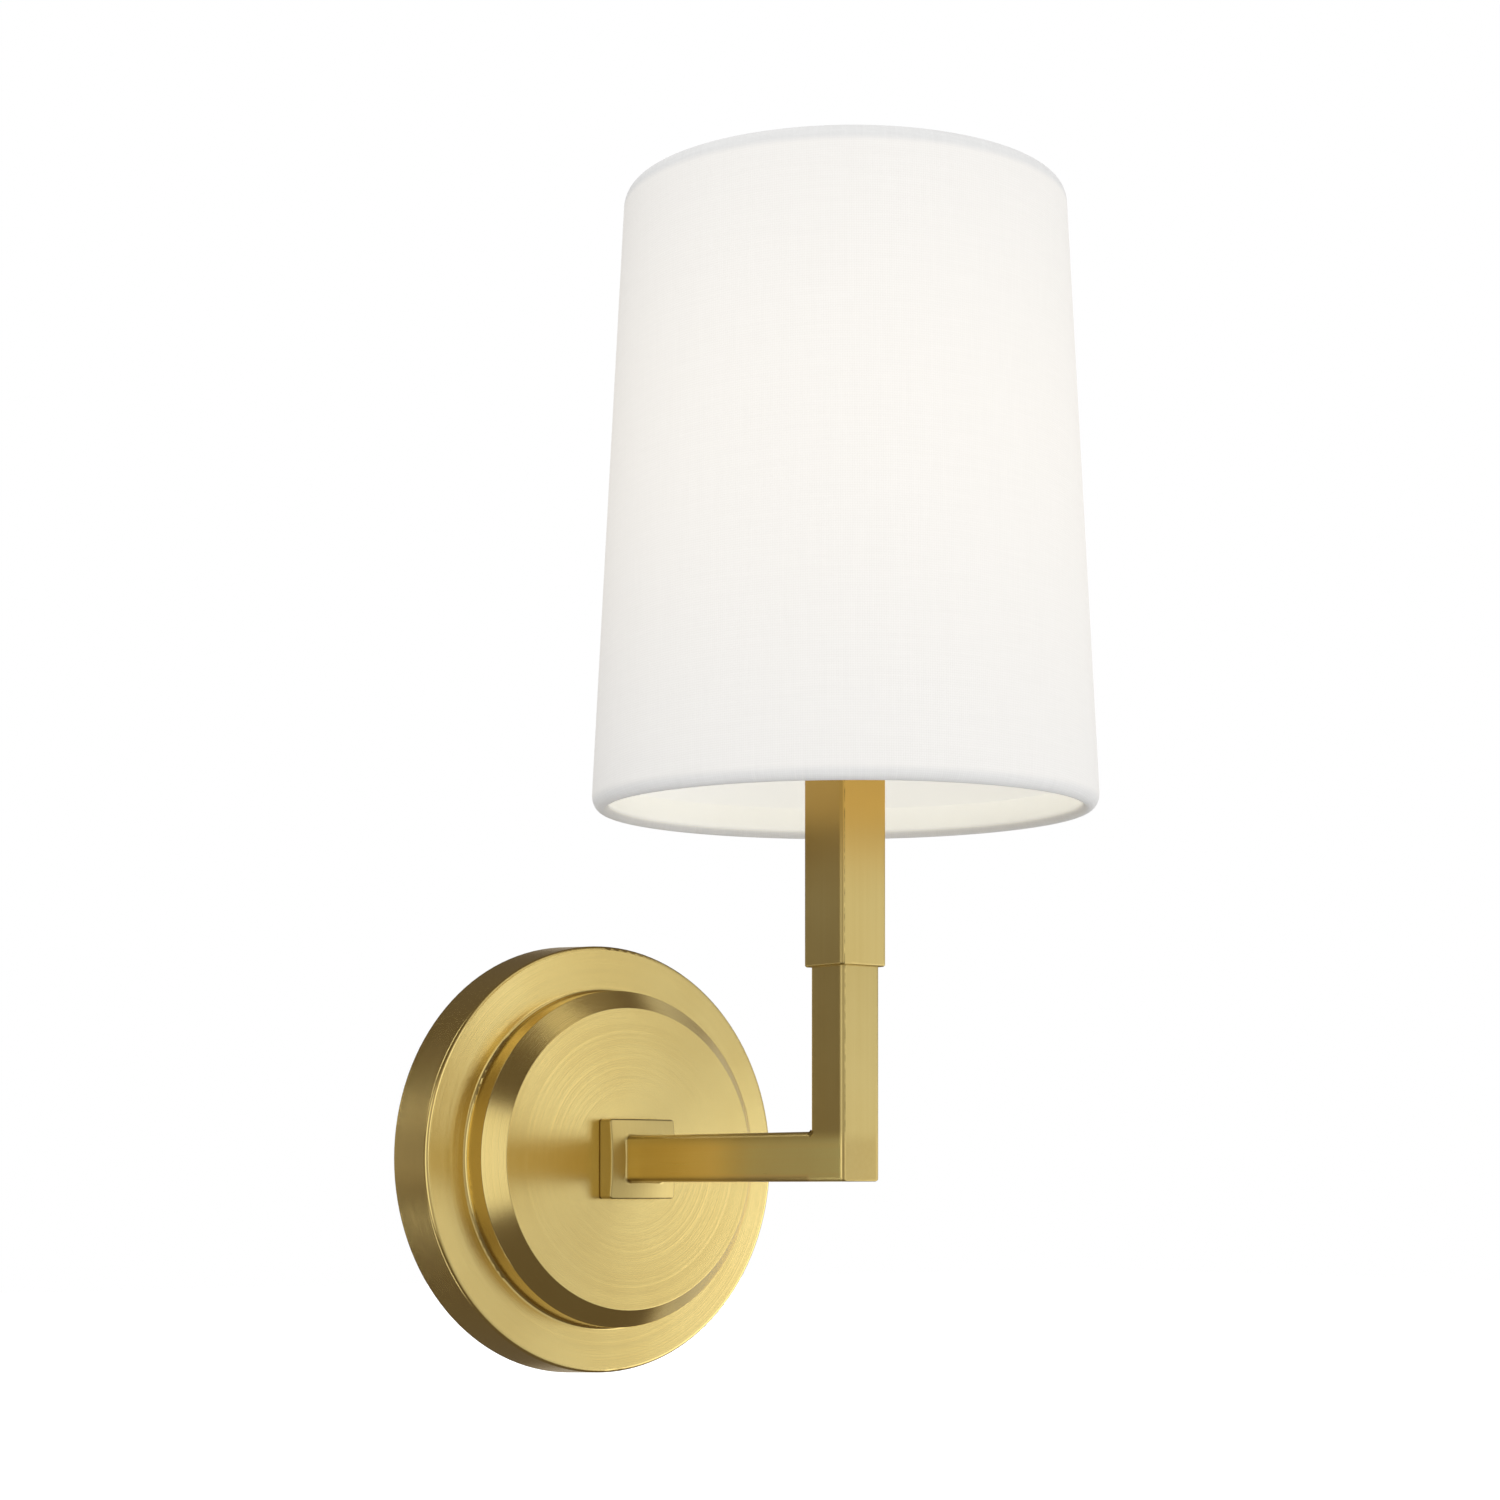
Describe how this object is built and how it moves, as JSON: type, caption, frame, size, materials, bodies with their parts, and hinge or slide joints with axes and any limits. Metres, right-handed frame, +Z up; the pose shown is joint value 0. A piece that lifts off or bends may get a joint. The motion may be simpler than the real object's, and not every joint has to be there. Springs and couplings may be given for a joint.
{
  "type": "wall sconce",
  "caption": "Wall sconce with a round stepped brass canopy, a fixed square L-shaped arm, a square sleeve and a tapered white linen shade over an upright candelabra lamp.",
  "frame": {"origin": "centre of the wall bracket and canopy, on the wall plane", "axes": "+X to the right along the wall as seen from the room, +Y into the wall, +Z up"},
  "size_m": [0.1372, 0.1938, 0.3222],
  "materials": {
    "satin_brass": "brushed satin, clear lacquered",
    "raw_brass": "machined",
    "zinc_steel": "zinc plated",
    "dark_steel": "blackened",
    "green_steel": "green dyed zinc",
    "tinned_copper": "tinned",
    "white_steel": "white powder coat",
    "white_plastic": "moulded nylon",
    "black_phenolic": "moulded phenolic",
    "orange_plastic": "moulded",
    "white_ceramic": "glazed porcelain",
    "black_insulation": "PVC",
    "white_insulation": "PVC",
    "green_insulation": "PVC",
    "solder": "soft solder",
    "black_glass": "vitrite",
    "nickel": "nickel plated",
    "clear_glass": "clear",
    "filament_yellow": "phosphor coated",
    "white_linen": "plain woven linen",
    "cream_liner": "matt styrene"
  },
  "bodies": {
    "fixture": {"wall_bracket": "zinc_steel", "canopy_screws": "dark_steel", "ground_screw": "green_steel", "canopy": "satin_brass", "boss": "satin_brass", "arm_tube": "satin_brass", "riser_tube": "satin_brass", "arm_insert": "raw_brass", "fixing_nipple": "zinc_steel", "backing_washer": "zinc_steel", "ground_lug": "tinned_copper", "lock_washer": "zinc_steel", "fixing_nut": "zinc_steel", "wire_bushing": "white_plastic", "sleeve": "satin_brass", "sleeve_plug": "raw_brass", "holder_nipple": "zinc_steel", "holder_cup": "satin_brass", "holder_base": "black_phenolic", "holder_skirt": "black_phenolic", "holder_core": "white_ceramic", "terminal_screws": "raw_brass", "screw_shell": "raw_brass", "centre_contact": "raw_brass", "live_lead": "black_insulation", "neutral_lead": "white_insulation", "ground_lead": "green_insulation", "wire_connectors": "orange_plastic"},
    "lamp_contact": {"lamp_tip": "solder"},
    "lamp": {"lamp_insulator": "black_glass", "lamp_cap": "nickel", "lamp_glass": "clear_glass", "lamp_stem": "clear_glass", "lamp_frame": "nickel", "lamp_filaments": "filament_yellow"},
    "shade": {"shade_fabric": "white_linen", "shade_liner": "cream_liner", "bottom_hoop": "white_steel", "top_hoop": "white_steel", "bottom_hem": "white_linen", "top_hem": "white_linen", "fitter_washer": "white_steel", "fitter_arms": "white_steel"},
    "clamp_ring": {"shade_ring": "black_phenolic"}
  },
  "joints": [
    {"name": "lamp_rise", "type": "slide", "parent": "fixture", "child": "lamp_contact", "axis": [0, 0, 1], "range_m": [0, 0.009]},
    {"name": "lamp_turn", "type": "hinge", "parent": "lamp_contact", "child": "lamp", "pos_m": [0, -0.1252, 0.14], "axis": [0, 0, 1], "range_deg": [0, 1260]},
    {"name": "shade_lift", "type": "slide", "parent": "fixture", "child": "shade", "axis": [0, 0, 1], "range_m": [0, 0.135]},
    {"name": "ring_turn", "type": "hinge", "parent": "shade", "child": "clamp_ring", "pos_m": [0, -0.1252, 0.137], "axis": [0, 0, 1], "range_deg": [0, 1080]}
  ],
  "couplings": [
    {"joint": "lamp_rise", "follows": "lamp_turn", "m_per_rad": 0.00040425}
  ]
}
